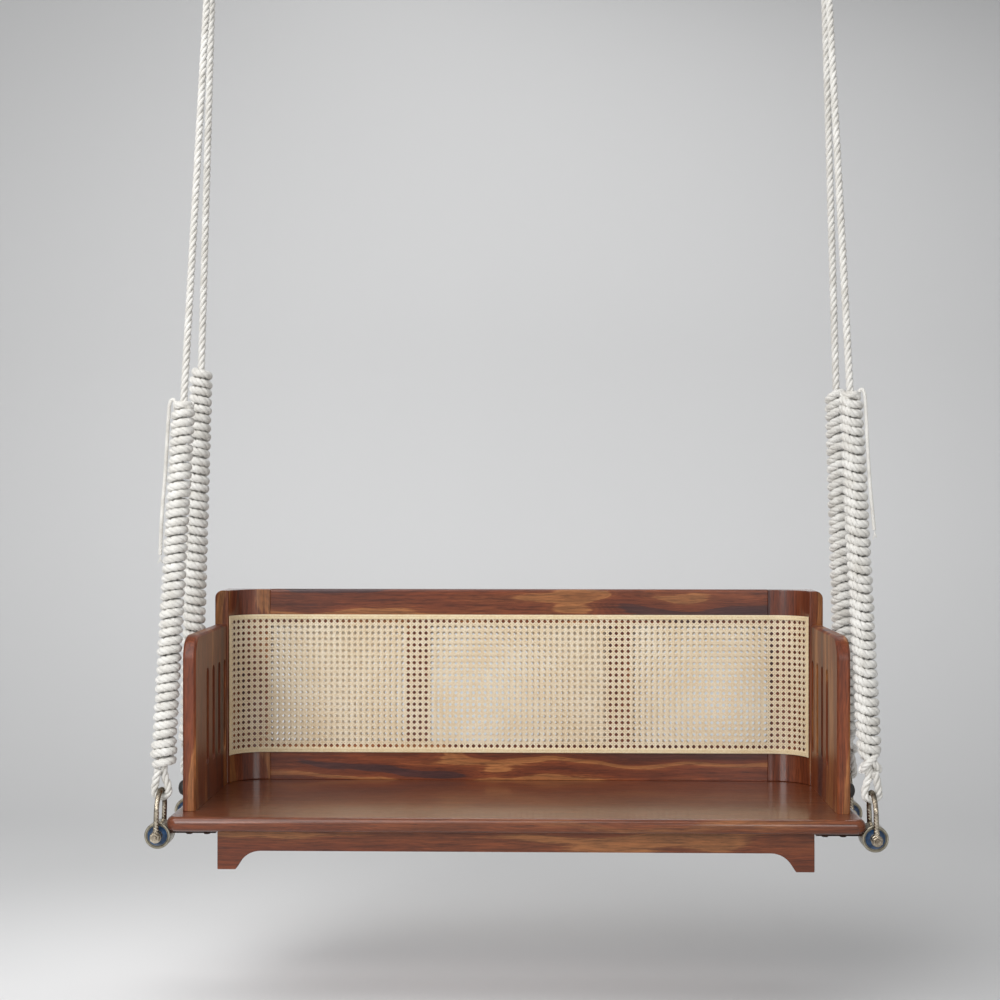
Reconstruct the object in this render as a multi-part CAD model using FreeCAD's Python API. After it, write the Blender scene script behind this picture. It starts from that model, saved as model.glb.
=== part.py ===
import FreeCAD
import Part
import math
import os

V = FreeCAD.Vector
ORIGIN = V(0, 0, 0)
ACROSS = V(1, 0, 0)
BACKWARD = V(0, 1, 0)
UP = V(0, 0, 1)

# A hanging bench with a caned back, on four wound ropes. Lengths are in millimetres.
# Everything is drawn from the middle of the seat's front edge at the height of its top face,
# with X across, Y to the back and Z up. Each piece is then moved so that the origin is on the
# ceiling, midway between the two ceiling plates.

# Overall
seat_width = 1320.0
seat_depth = 508.0
ceiling_height = 1920.0  # ceiling above the seat's top face
balance_depth = 286.17  # the bench hangs level under a line this far behind its front edge

# Seat plank
seat_thick = 28.0
seat_corner = 22.0  # round of the four corners, seen from above
seat_nose = 12.5  # round of the edges

# Aprons and battens under the seat
apron_end_inset = 92.0  # ends of the aprons in from the seat's ends
apron_inset = 42.0  # front and rear aprons behind the seat's edges
apron_thick = 22.0
apron_drop = 42.6  # between the feet
foot_height = 78.0
foot_width = 35.0
foot_slope_run = 23.0  # level run of the slope beside a foot
foot_cove = 45.0  # radius of the cove above that slope
batten_width = 45.0
batten_thick = 22.0
batten_spacing_share = 0.29  # of the aprons' length

# Back frame
back_ledge = 22.0  # seat behind the back
back_thick = 26.0
back_height = 408.0
bottom_rail_height = 77.0
top_rail_height = 76.0
rail_round = 5.0
stile_width = 53.0
stile_spacing = 426.0

# Corner posts, hollowed in front to a quarter round
post_flat = 6.5  # from the joint with the rails to where the hollow starts
post_hollow = 76.0  # radius of the hollow
post_depth = 58.0  # front face of a post to the front face of the back
post_outer_round = 14.0
post_top_round = 16.0

# Arms
arm_end_inset = 20.0  # outer faces of the arms in from the seat's ends
arm_thick = 25.5
arm_front = 67.0
arm_height = 337.0
arm_corner = 45.0
arm_bevel = 4.0
slot_width = 24.0
slot_bottom = 74.0
slot_top_margin = 72.0  # top of a slot below the top of the arm
slot_inset = 123.0  # first slot's middle behind the front of the arm
slot_rear_inset = 26.0  # last slot's middle in front of the corner post
slot_count = 4
buffer_inset = 23.0  # centre of a buffer behind the front of the arm
buffer_level = 42.0
buffer_radius = 15.0
buffer_rise = 12.0
buffer_dome_shares = [(1.0, 0.0), (0.93, 0.4), (0.72, 0.78), (0.4, 1.0)]
buffer_sides = 16

# Cane
cane_bottom = 59.0
cane_top = 354.0
cane_thick = 1.5
cane_gap = 0.3  # the woven sheet stands this far off the wood
cane_wrap_angle = 75.0  # degrees round each hollow
binding_width = 10.0
binding_thick = 2.0
rear_cane_lap = 23.0  # rear sheet over each post

# Bearing at each corner of the seat
bearing_level = -39.0
front_bearing_inset = 45.0
rear_bearing_inset = 188.0
housing_radius = 25.0
bearing_radius = 20.0
housing_length = 44.0
bearing_recess = 0.5
sleeve_radius = 8.5
running_gap = 0.05
housing_sides = 20
bracket_length = 86.0
bracket_width = 38.0
bracket_thick = 6.0
screw_radius = 3.0
screw_length = 20.0
screw_head = 6.5
screw_head_rise = 4.5
screw_spacing = 34.0
screw_from_apron = 20.0

# Shackle through each housing
shackle_rod = 5.0
shackle_reach = 36.0  # housing's middle to the middle of a leg, and radius of the bow
shackle_rise = 48.0  # bearing axis to the centre of the bow
eye_radius = 11.0
eye_thick = 10.0
bow_steps = 6  # facets of each quarter of the bow
bolt_radius = 5.0
bolt_fit = 0.1
bolt_sides = 12
nut_radius = 9.8
nut_rise = 8.0
head_rise = 6.5
bolt_end = 3.0

# Rope
rope_radius = 7.75
lower_eye_gap = 0.4
upper_eye_gap = 0.4
rope_spread = 10.5  # each rope of a pair stands this far from the middle of its hanger link
wrap_start = 38.5  # above the top of the bow
wrap_radius = 24.0
wrap_gap = 0.5
wrap_clear = 0.35
wrap_bevel_share = 0.28
loops_per_wrap = 16
facets_per_loop = 10
front_left_wrap = 712.0
rear_left_wrap = 790.0
front_right_wrap = 730.0
rear_right_wrap = 745.0
wrap_to_arm = 3.33  # least space between a wrap and the arm beside it
eye_lead = 8.0  # straight run out of an eye
eye_neck = 33.0  # height at which the standing rope is back on its line
neck_radius = 20.0
tail_spread = 16.4
tail_fit = 0.4
upper_tail = 90.0

# Loose end at the top of each front wrap: distance out from the rope's line, then height
# above the top of the wrap
tail_radius = 3.0
tail_bend = 5.0
tail_sweep = 60.0
left_tail = [(16.0, -3.2), (16.0, 15.0), (30.0, 13.0), (30.0, -30.0), (31.0, -92.0), (32.5, -160.0),
             (36.0, -218.0), (31.0, -300.0)]
right_tail = [(16.0, -3.2), (16.0, 14.0), (29.5, 12.0), (30.0, -30.0), (31.0, -85.0), (30.5, -150.0),
              (33.0, -205.0), (41.0, -270.0)]

# Ceiling hardware
hook_inset = 58.0  # a ceiling hook nearer the middle than the bearings below it
link_drop = 90.0  # bottom bar of a hanger link below the ceiling
link_rod = 5.0
link_half_width = 32.0
link_peak = 100.0
link_corner = 12.0
link_crown = 14.0
staple_rod = 6.0
staple_half_width = 28.0
staple_corner = 14.0
staple_fit = 0.3
plate_width = 80.0
plate_length = 150.0
plate_thick = 6.0
plate_bolt_spacing = 110.0
plate_bolt_radius = 5.5

rod_sides = 8  # rods and ropes are drawn with this many flats
bend_steps = 3  # facets of a quarter bend
overrun = 10.0  # how far a cutting shape runs past what it cuts
tiny = 0.01  # for picking edges by their place

# Places that follow from the sizes above
apron_length = seat_width - 2 * apron_end_inset
arm_outside = seat_width / 2 - arm_end_inset
arm_inside = arm_outside - arm_thick
back_rear = seat_depth - back_ledge
back_face = back_rear - back_thick
post_front = back_face - post_depth
hollow_centre_x = arm_inside - post_hollow
hollow_centre_y = back_face - post_hollow
post_inner_x = hollow_centre_x - post_flat
rear_cane_half = post_inner_x + rear_cane_lap
front_bearing = front_bearing_inset
rear_bearing = seat_depth - rear_bearing_inset
slot_pitch = (post_front - arm_front - slot_inset - slot_rear_inset) / (slot_count - 1)
link_level = ceiling_height - link_drop
hang_height = link_level - bearing_level
hang_lean = math.degrees(math.atan2(hook_inset, hang_height))
hang_length = math.hypot(hook_inset, hang_height)
lean_at_arm = hook_inset * (arm_height - bearing_level) / hang_height
bearing_x = arm_outside + wrap_to_arm + wrap_radius + lean_at_arm
hook_x = bearing_x - hook_inset


# Shapes used by many pieces

def rounded(points, radii, closed=True):
    """A wire through the points, with an arc of the given radius at each corner."""
    cuts = []
    count = len(points)
    for i, corner in enumerate(points):
        ends = not closed and i in (0, count - 1)
        if ends or radii[i] == 0:
            cuts.append((corner, None, corner))
            continue
        before = (points[i - 1] - corner).normalize()
        after = (points[(i + 1) % count] - corner).normalize()
        half = before.getAngle(after) / 2
        reach = radii[i] / math.tan(half)
        inward = (before + after).normalize()
        middle = corner + inward * (radii[i] / math.sin(half) - radii[i])
        cuts.append((corner + before * reach, middle, corner + after * reach))
    edges = []
    for i, (start, middle, end) in enumerate(cuts):
        if middle is not None:
            edges.append(Part.Arc(start, middle, end).toShape())
        following = cuts[(i + 1) % count][0]
        last = not closed and i == count - 1
        if not last and (following - end).Length > tiny:
            edges.append(Part.LineSegment(end, following).toShape())
    return Part.Wire(edges)


def plate(points, radii, thickness):
    return Part.Face(rounded(points, radii)).extrude(thickness)


def block(x0, x1, y0, y1, z0, z1):
    return Part.makeBox(x1 - x0, y1 - y0, z1 - z0, V(x0, y0, z0))


def outline_along_y(radius, sides, y):
    """A circle, or a regular outline where sides are given, square to Y."""
    if not sides:
        return Part.Wire(Part.makeCircle(radius, V(0, y, 0), BACKWARD))
    corners = []
    for k in range(sides):
        turn = 2 * math.pi * k / sides
        corners.append(V(radius * math.cos(turn), y, radius * math.sin(turn)))
    return Part.makePolygon(corners + corners[:1])


def rod_along_y(radius, sides, y0, y1):
    return Part.Face(outline_along_y(radius, sides, y0)).extrude(BACKWARD * (y1 - y0))


def ring_along_y(outer, outer_sides, inner, inner_sides, half):
    disc = Part.Face(outline_along_y(outer, outer_sides, -half))
    bore = Part.Face(outline_along_y(inner, inner_sides, -half))
    return disc.cut(bore).extrude(BACKWARD * (2 * half))


def mirrored(shape):
    return shape.mirror(ORIGIN, ACROSS)


def skin(rings, warped=(), closed=False):
    """A solid through rings of corners; sides named in warped are laid as triangles."""
    faces = [] if closed else [Part.Face(Part.makePolygon(ring + ring[:1])) for ring in (rings[0], rings[-1])]
    following = rings[1:] + (rings[:1] if closed else [])
    for low, high in zip(rings, following):
        for i in range(len(low)):
            j = (i + 1) % len(low)
            quad = [low[i], low[j], high[j], high[i]]
            parts = [quad[:3], [quad[0], quad[2], quad[3]]] if i in warped else [quad]
            faces += [Part.Face(Part.makePolygon(part + part[:1])) for part in parts]
    shell = Part.Shell(faces)
    shell.sewShape()
    solid = Part.Solid(shell)
    if solid.Volume < 0:
        solid.reverse()
    return solid


def stations(points, radii, closed=False, fineness=bend_steps):
    """Points along a route of straight runs and arcs, close enough to bend a rod by."""
    places = [] if closed else [points[0]]
    for edge in rounded(points, radii, closed).Edges:
        steps = 1
        span = edge.LastParameter - edge.FirstParameter
        if isinstance(edge.Curve, Part.Circle):
            steps = math.ceil(span / (math.pi / 2) * fineness - tiny)
        places += [edge.valueAt(edge.FirstParameter + span * (k + 1) / steps) for k in range(steps)]
    return places


def bent_rod(points, radii, radius, closed=False, fineness=bend_steps):
    """A rod along a flat route, mitred from one facet of a bend to the next."""
    places = stations(points, radii, closed, fineness)
    aside = (points[1] - points[0]).cross(points[2] - points[1]).normalize()
    count = len(places)
    runs = [(places[(i + 1) % count] - place).normalize() for i, place in enumerate(places)]
    rings = []
    for i, place in enumerate(places):
        before = runs[i - 1] if closed or i > 0 else runs[0]
        after = runs[i] if closed or i < count - 1 else before
        along = (before + after).normalize()
        across = along.cross(aside) * (1 / math.cos(before.getAngle(after) / 2))
        ring = []
        for k in range(rod_sides):
            turn = 2 * math.pi * (k + 0.5) / rod_sides
            ring.append(place + across * (radius * math.cos(turn)) + aside * (radius * math.sin(turn)))
        rings.append(ring)
    return skin(rings, closed=closed)


# Seat, aprons and battens

def seat_plank():
    slab = block(-seat_width / 2, seat_width / 2, 0, seat_depth, -seat_thick, 0)
    upright = [e for e in slab.Edges if e.BoundBox.ZLength > tiny]
    slab = slab.makeFillet(seat_corner, upright)
    rim = [e for e in slab.Edges if e.BoundBox.ZLength < tiny]
    return slab.makeFillet(seat_nose, rim)


def apron_outline(length, foot):
    """Corners of a long apron with a bracket foot at each end, as (along, height)."""
    top = -seat_thick
    low = top - apron_drop
    ground = top - foot_height
    half = length / 2
    slope = half - foot - foot_slope_run
    points = [(-half, top), (half, top), (half, ground), (half - foot, ground), (slope, low),
              (-slope, low), (foot - half, ground), (-half, ground)]
    radii = [0, 0, 0, 0, foot_cove, foot_cove, 0, 0]
    return points, radii


def front_apron(y):
    points, radii = apron_outline(apron_length, foot_width)
    return plate([V(a, y, z) for a, z in points], radii, BACKWARD * apron_thick)


def side_apron():
    length = seat_depth - 2 * (apron_inset + apron_thick)
    points, radii = apron_outline(length, foot_width - apron_thick)
    x = apron_length / 2 - apron_thick
    return plate([V(x, seat_depth / 2 + a, z) for a, z in points], radii, ACROSS * apron_thick)


def battens():
    first = apron_inset + apron_thick
    middles = [k * batten_spacing_share * apron_length for k in (-1, 0, 1)]
    return [block(x - batten_width / 2, x + batten_width / 2, first, seat_depth - first,
                  -seat_thick - batten_thick, -seat_thick) for x in middles]


# Back frame and arms

def back_rail(bottom, top):
    return block(-post_inner_x, post_inner_x, back_face, back_rear, bottom, top)


def top_rail():
    rail = back_rail(back_height - top_rail_height, back_height)
    upper = [e for e in rail.Edges
             if e.BoundBox.ZMin > back_height - tiny and e.BoundBox.YLength < tiny]
    return rail.makeFillet(rail_round, upper)


def back_stile(middle):
    return block(middle - stile_width / 2, middle + stile_width / 2, back_face, back_rear,
                 bottom_rail_height, back_height - top_rail_height)


def hollow_point(radius, degrees):
    """A point of the hollow's plan; zero degrees is where it meets the back."""
    turn = math.radians(degrees)
    return V(hollow_centre_x + radius * math.sin(turn), hollow_centre_y + radius * math.cos(turn), 0)


def corner_post():
    """Right-hand post: plan swept up, then rounded at its outer top corner."""
    outer = arm_outside
    end_angle = math.degrees(math.acos((post_front - hollow_centre_y) / post_hollow))
    hollow = Part.Arc(hollow_point(post_hollow, 0), hollow_point(post_hollow, end_angle / 2),
                      hollow_point(post_hollow, end_angle))
    heel = outer - post_outer_round
    toe = back_rear - post_outer_round
    bulge = post_outer_round * math.cos(math.pi / 4)
    outer_arc = Part.Arc(V(outer, toe, 0), V(heel + bulge, toe + bulge, 0), V(heel, back_rear, 0))
    corners = [hollow_point(post_hollow, end_angle), V(outer, post_front, 0), V(outer, toe, 0)]
    rear = [V(heel, back_rear, 0), V(post_inner_x, back_rear, 0), V(post_inner_x, back_face, 0),
            hollow_point(post_hollow, 0)]
    edges = [hollow.toShape()]
    edges += [Part.LineSegment(a, b).toShape() for a, b in zip(corners, corners[1:])]
    edges.append(outer_arc.toShape())
    edges += [Part.LineSegment(a, b).toShape() for a, b in zip(rear, rear[1:])]
    post = Part.Face(Part.Wire(edges)).extrude(UP * back_height)
    front = post_front - overrun
    view = [V(post_inner_x - overrun, front, 0), V(outer, front, 0), V(outer, front, back_height),
            V(post_inner_x - overrun, front, back_height)]
    return post.common(plate(view, [0, 0, post_top_round, 0], BACKWARD * seat_depth))


def arm():
    """Right-hand arm panel with its row of slots."""
    outline = [V(arm_inside, arm_front, 0), V(arm_inside, post_front, 0),
               V(arm_inside, post_front, arm_height), V(arm_inside, arm_front, arm_height)]
    panel = plate(outline, [0, 0, 0, arm_corner], ACROSS * arm_thick)
    rim = []
    for e in panel.Edges:
        box = e.BoundBox
        flat = box.XLength < tiny
        at_top = box.ZMax > arm_height - tiny and box.YMin < post_front - tiny
        at_front = box.YMax < arm_front + tiny
        if flat and (at_top or at_front):
            rim.append(e)
    panel = panel.makeChamfer(arm_bevel, rim)
    half = slot_width / 2
    slot_top = arm_height - slot_top_margin
    for k in range(slot_count):
        y = arm_front + slot_inset + k * slot_pitch
        corners = [V(arm_inside - overrun, a, z) for a, z in
                   ((y - half, slot_bottom), (y + half, slot_bottom), (y + half, slot_top), (y - half, slot_top))]
        cutter = plate(corners, [half] * 4, ACROSS * (arm_thick + 2 * overrun))
        panel = panel.cut(cutter)
    return panel


def arm_buffer():
    """A domed buffer on the right-hand arm's outer face."""
    rings = []
    for radius_share, rise_share in buffer_dome_shares:
        x = arm_outside + rise_share * buffer_rise
        ring = []
        for k in range(buffer_sides):
            turn = 2 * math.pi * k / buffer_sides
            reach = radius_share * buffer_radius
            ring.append(V(x, arm_front + buffer_inset + reach * math.cos(turn), buffer_level + reach * math.sin(turn)))
        rings.append(ring)
    return skin(rings)


# Cane sheets and their bindings

def bent_end(near, far, wrap, z0, z1):
    """A band round the right-hand hollow, from the flat of the back; near and far are its
    distances off the wood, wrap is how many degrees of the hollow it covers."""
    inner = [hollow_point(post_hollow - far, a) + UP * z0 for a in (0, wrap / 2, wrap)]
    outer = [hollow_point(post_hollow - near, a) + UP * z0 for a in (0, wrap / 2, wrap)]
    edges = [Part.Arc(*inner).toShape(), Part.LineSegment(inner[2], outer[2]).toShape(),
             Part.Arc(*outer).toShape(), Part.LineSegment(outer[0], inner[0]).toShape()]
    return Part.Face(Part.Wire(Part.__sortEdges__(edges))).extrude(UP * (z1 - z0))


def flat_band(near, far, half, z0, z1):
    return block(-half, half, back_face - far, back_face - near, z0, z1)


def cane_front():
    """The flat stretch of the woven sheet; its two ends go on round the hollows."""
    return flat_band(cane_gap, cane_gap + cane_thick, hollow_centre_x, cane_bottom, cane_top)


def cane_corner():
    return bent_end(cane_gap, cane_gap + cane_thick, cane_wrap_angle, cane_bottom, cane_top)


def binding_front():
    near = cane_gap + cane_thick
    far = near + binding_thick
    end_angle = math.degrees(binding_width / post_hollow)
    pieces = []
    for z in (cane_bottom, cane_top - binding_width):
        bent = bent_end(near, far, cane_wrap_angle, z, z + binding_width)
        pieces += [bent, mirrored(bent), flat_band(near, far, hollow_centre_x, z, z + binding_width)]
    upright = bent_end(near, far, cane_wrap_angle, cane_bottom, cane_top)
    upright = upright.cut(bent_end(near - cane_thick, far + cane_thick, cane_wrap_angle - end_angle,
                                   cane_bottom, cane_top))
    pieces += [upright, mirrored(upright)]
    return pieces[0].fuse(pieces[1:]).removeSplitter()


def cane_rear():
    half = rear_cane_half
    near = back_rear + cane_gap
    return block(-half, half, near, near + cane_thick, cane_bottom, cane_top)


def binding_rear():
    half = rear_cane_half
    near = back_rear + cane_gap + cane_thick
    far = near + binding_thick
    strip = block(-half, half, near, far, cane_bottom, cane_top)
    window = block(binding_width - half, half - binding_width, near - cane_thick, far + cane_thick,
                   cane_bottom + binding_width, cane_top - binding_width)
    return strip.cut(window)


# Bearings, brackets and screws: right-hand pieces at one depth

def at_bearing(shape, y):
    moved = shape.copy()
    moved.translate(V(bearing_x, y, bearing_level))
    return moved


def bearing_housing(y):
    half = housing_length / 2
    return at_bearing(ring_along_y(housing_radius, housing_sides, bearing_radius, housing_sides, half), y)


def bearing(y):
    half = housing_length / 2 - bearing_recess
    bore = sleeve_radius + running_gap
    return at_bearing(ring_along_y(bearing_radius, housing_sides, bore, 0, half), y)


def seat_bracket(y):
    bar = block(bearing_x - housing_radius - bracket_length, bearing_x, y - bracket_width / 2,
                y + bracket_width / 2, -seat_thick - bracket_thick, -seat_thick)
    tube = at_bearing(rod_along_y(housing_radius, housing_sides, -housing_length, housing_length), y)
    return bar.cut(tube).Solids[0]


def hexagon(x, y, z, radius):
    corners = [V(x + radius * math.cos(math.pi * i / 3), y + radius * math.sin(math.pi * i / 3), z)
               for i in range(6)]
    return Part.Face(Part.makePolygon(corners + corners[:1]))


def bracket_screws(y):
    bottom = -seat_thick - bracket_thick
    screws = []
    for k in (0, 1):
        x = apron_length / 2 + screw_from_apron + k * screw_spacing
        head = hexagon(x, y, bottom, screw_head).extrude(UP * -screw_head_rise)
        screws.append(head.fuse(hexagon(x, y, bottom, screw_radius).extrude(UP * screw_length)))
    return screws


# What hangs in a leaning plane on each side: the shackles, their bolts and the ropes

def hung(shape, sign, y):
    """Moves a shape drawn about a bearing's centre into the leaning plane of its side."""
    moved = shape.copy()
    moved.rotate(ORIGIN, BACKWARD, -sign * hang_lean)
    moved.translate(V(sign * bearing_x, y, bearing_level))
    return moved


def shackle():
    leg = shackle_reach
    top = shackle_rise + shackle_reach
    foot = math.sqrt(eye_radius ** 2 - shackle_rod ** 2)
    route = [V(0, -leg, foot - shackle_rod), V(0, -leg, top), V(0, leg, top), V(0, leg, foot - shackle_rod)]
    bow = bent_rod(route, [0, leg, leg, 0], shackle_rod, fineness=bow_steps)
    eye = ring_along_y(eye_radius, bolt_sides, bolt_radius + bolt_fit, bolt_sides, eye_thick / 2)
    eyes = []
    for y in (-leg, leg):
        moved = eye.copy()
        moved.translate(V(0, y, 0))
        eyes.append(moved)
    hole = rod_along_y(bolt_radius + bolt_fit, bolt_sides, -leg - eye_thick, leg + eye_thick)
    return bow.fuse(eyes).cut(hole).removeSplitter()


def sleeve():
    reach = shackle_reach - eye_thick / 2 - bolt_fit
    return ring_along_y(sleeve_radius, 0, bolt_radius + bolt_fit, bolt_sides, reach)


def axle_bolt():
    face = shackle_reach + eye_thick / 2
    shank = rod_along_y(bolt_radius, bolt_sides, -face - nut_rise - bolt_end, face)
    return shank.fuse(rod_along_y(nut_radius, 6, face, face + head_rise)).removeSplitter()


def axle_nut():
    face = shackle_reach + eye_thick / 2
    nut = ring_along_y(nut_radius, 6, bolt_radius + running_gap, bolt_sides, nut_rise / 2)
    nut.translate(V(0, -face - nut_rise / 2, 0))
    return nut


def rope_frame(end, y):
    """Where a rope leaves the bow, its tilt from the shackle's middle line, and its free length."""
    spread = -rope_spread if end == "front" else rope_spread
    run = balance_depth + spread - y
    rise = hang_length - shackle_rise
    tilt = math.degrees(math.atan2(run, rise))
    return tilt, math.hypot(run, rise) - shackle_reach


def on_rope(shape, sign, end, y):
    """Moves a shape drawn up the Z axis from the top of the bow onto its rope."""
    tilt, length = rope_frame(end, y)
    moved = shape.copy()
    moved.translate(UP * shackle_reach)
    moved.rotate(ORIGIN, ACROSS, -tilt)
    moved.translate(UP * shackle_rise)
    return hung(moved, sign, y)


def rope_route(sign, length):
    """Corners and radii of one rope: tail, eye round the bow, standing rope, eye round the link."""
    low = shackle_rod + lower_eye_gap + rope_radius
    high = link_rod + upper_eye_gap + rope_radius
    out = sign
    points = [(out * tail_spread, wrap_start - tail_fit), (out * low, eye_lead), (out * low, -low),
              (-out * low, -low), (-out * low, eye_lead), (0, eye_neck),
              (0, length - eye_neck), (-out * high, length - eye_lead), (-out * high, length + high),
              (out * high, length + high), (out * high, length - eye_lead),
              (out * tail_spread, length - eye_neck), (out * tail_spread, length - upper_tail)]
    radii = [0, neck_radius, low, low, neck_radius, neck_radius, neck_radius, neck_radius, high, high,
             neck_radius, neck_radius, 0]
    return [V(x, 0, z) for x, z in points], radii


def rope(sign, end, y):
    points, radii = rope_route(sign, rope_frame(end, y)[1])
    return on_rope(bent_rod(points, radii, rope_radius), sign, end, y)


def winding(length):
    """One unbroken cord wound up the rope: a bevelled section carried round in flat facets."""
    steps = loops_per_wrap * facets_per_loop
    pitch = (length + wrap_gap) / (loops_per_wrap + 1)
    half = (pitch - wrap_gap) / 2
    inner = (rope_radius + wrap_clear) / math.cos(math.pi / facets_per_loop)
    bevel = wrap_bevel_share * pitch
    corners = [(inner, -half), (wrap_radius, bevel - half), (wrap_radius, half - bevel), (inner, half)]
    rings = []
    for k in range(steps + 1):
        turn = 2 * math.pi * k / facets_per_loop
        climb = wrap_start + half + pitch * k / facets_per_loop
        rings.append([V(r * math.cos(turn), r * math.sin(turn), climb + z) for r, z in corners])
    solid = skin(rings, warped=(0, 2))
    gap = min((rings[k + facets_per_loop][0] - rings[k][3]).Length for k in range(steps + 1 - facets_per_loop))
    print("winding of", loops_per_wrap, "loops: pitch", round(pitch, 2), "least gap to itself", round(gap, 2))
    return solid


def wrap(sign, end, y, length):
    turned = winding(length)
    if sign < 0:
        turned.rotate(ORIGIN, UP, 180)
    return on_rope(turned, sign, end, y)


def loose_end(sign, end, y, route, top):
    points = [V(sign * out, 0, wrap_start + top + height) for out, height in route]
    radii = [0, tail_bend, tail_bend] + [tail_sweep] * (len(points) - 4) + [0]
    return on_rope(bent_rod(points, radii, tail_radius), sign, end, y)


# Ceiling hardware

def hanger_link():
    """Right-hand link, a closed bar bent to a peak, and the height of its middle line there."""
    half = link_half_width
    route = [V(0, -half, 0), V(0, 0, link_peak), V(0, half, 0)]
    radii = [link_corner, link_crown, link_corner]
    crown = max(place.z for place in stations(route, radii, closed=True))
    link = bent_rod(route, radii, link_rod, closed=True)
    link.translate(V(hook_x, balance_depth, link_level))
    return link, crown


def staple(crown):
    flat = link_rod * math.cos(math.pi / rod_sides)
    level = link_level + crown - flat - staple_rod - staple_fit
    top = ceiling_height - plate_thick
    half = staple_half_width
    route = [V(-half, 0, top), V(-half, 0, level), V(half, 0, level), V(half, 0, top)]
    bar = bent_rod(route, [0, staple_corner, staple_corner, 0], staple_rod)
    bar.translate(V(hook_x, balance_depth, 0))
    return bar


def ceiling_plate():
    x = hook_x
    y = balance_depth
    top = ceiling_height
    slab = block(x - plate_width / 2, x + plate_width / 2, y - plate_length / 2, y + plate_length / 2,
                 top - plate_thick, top)
    for k in (-1, 1):
        hole = Part.makeCylinder(plate_bolt_radius, plate_thick + 2 * overrun,
                                 V(x, y + k * plate_bolt_spacing / 2, top - plate_thick - overrun))
        slab = slab.cut(hole)
    return slab


def export(name, shapes):
    solids = []
    for shape in shapes if isinstance(shapes, list) else [shapes]:
        solids += shape.Solids
    group = Part.makeCompound(solids)
    group.translate(V(0, -balance_depth, -ceiling_height))
    group.exportStep(os.path.join("parts", name + ".step"))
    print(name, len(solids), "solids, valid", group.isValid(), "volume", round(group.Volume))


def both(shape):
    return [mirrored(shape), shape]


os.makedirs("parts", exist_ok=True)
depths = {"front": front_bearing, "rear": rear_bearing}
wrap_lengths = {"front_left": front_left_wrap, "rear_left": rear_left_wrap,
                "front_right": front_right_wrap, "rear_right": rear_right_wrap}

export("seat_plank", seat_plank())
export("apron_front", front_apron(apron_inset))
export("apron_rear", front_apron(seat_depth - apron_inset - apron_thick))
export("apron_left", mirrored(side_apron()))
export("apron_right", side_apron())
export("seat_battens", battens())

export("back_top_rail", top_rail())
export("back_bottom_rail", back_rail(0, bottom_rail_height))
export("back_stile_left", back_stile(-stile_spacing / 2))
export("back_stile_right", back_stile(stile_spacing / 2))
export("corner_post_left", mirrored(corner_post()))
export("corner_post_right", corner_post())
export("arm_left", mirrored(arm()))
export("arm_right", arm())
export("arm_buffers", both(arm_buffer()))
export("cane_front", cane_front())
export("cane_corners", both(cane_corner()))
export("cane_binding_front", binding_front())
export("cane_rear", cane_rear())
export("cane_binding_rear", binding_rear())

for end, y in depths.items():
    export("bearing_housings_" + end, both(bearing_housing(y)))
    export("bearings_" + end, both(bearing(y)))
    export("seat_brackets_" + end, both(seat_bracket(y)))
    export("bracket_screws_" + end, both(bracket_screws(y)[0]) + both(bracket_screws(y)[1]))

for name, sign in (("left", -1), ("right", 1)):
    export("shackles_" + name, [hung(shackle(), sign, y) for y in depths.values()])
    export("bearing_sleeves_" + name, [hung(sleeve(), sign, y) for y in depths.values()])
    export("axle_bolts_" + name, [hung(axle_bolt(), sign, y) for y in depths.values()])
    export("axle_nuts_" + name, [hung(axle_nut(), sign, y) for y in depths.values()])
    for end, y in depths.items():
        corner = end + "_" + name
        export("rope_" + corner, rope(sign, end, y))
        export("wrap_" + corner, wrap(sign, end, y, wrap_lengths[corner]))
    route = left_tail if sign < 0 else right_tail
    export("loose_end_" + name,
           loose_end(sign, "front", front_bearing, route, wrap_lengths["front_" + name]))

link, crown = hanger_link()
export("hanger_links", both(link))
export("ceiling_staples", both(staple(crown)))
export("ceiling_plates", both(ceiling_plate()))

for end, y in depths.items():
    tilt, length = rope_frame(end, y)
    print(end, "rope: tilt", round(tilt, 2), "free length", round(length, 1))
print("lean", round(hang_lean, 3), "hang length", round(hang_length, 2), "crown", round(crown, 2))
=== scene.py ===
"""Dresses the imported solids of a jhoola, a swing bench on ropes, in lacquered sheesham, woven cane,
twisted cotton and plated steel, with a paper sweep, lamps and a camera."""
import math

import bmesh
import bpy
import numpy as np
from mathutils import Matrix, Vector


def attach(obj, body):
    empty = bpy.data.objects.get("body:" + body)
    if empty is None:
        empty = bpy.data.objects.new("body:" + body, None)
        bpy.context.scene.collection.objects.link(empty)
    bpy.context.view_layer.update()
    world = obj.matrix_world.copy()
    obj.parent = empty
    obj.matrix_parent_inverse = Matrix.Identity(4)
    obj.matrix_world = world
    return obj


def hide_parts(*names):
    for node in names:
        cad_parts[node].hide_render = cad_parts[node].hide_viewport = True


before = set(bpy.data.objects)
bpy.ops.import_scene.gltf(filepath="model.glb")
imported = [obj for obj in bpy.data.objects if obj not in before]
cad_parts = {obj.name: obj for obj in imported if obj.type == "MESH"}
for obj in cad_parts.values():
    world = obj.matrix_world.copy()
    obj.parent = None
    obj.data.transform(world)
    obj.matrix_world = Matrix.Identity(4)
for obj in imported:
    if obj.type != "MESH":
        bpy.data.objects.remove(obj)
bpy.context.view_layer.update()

# Sizes are in millimetres, from the middle of the seat's front edge at its top face, with X across,
# Y to the back and Z up. The bench matrix takes them to metres under the ceiling.
balance_depth = 286.17
ceiling_height = 1920.0
bench = Matrix.Scale(0.001, 4) @ Matrix.Translation((0, -balance_depth, -ceiling_height))
in_metres = Matrix.Identity(4)  # for points that are in metres under the ceiling already

arm_outside = 640.0
back_rear = 486.0
hollow_centre = (538.5, 384.0)  # of the corner posts' hollows, from above
hollow_radius = 76.0

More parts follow.
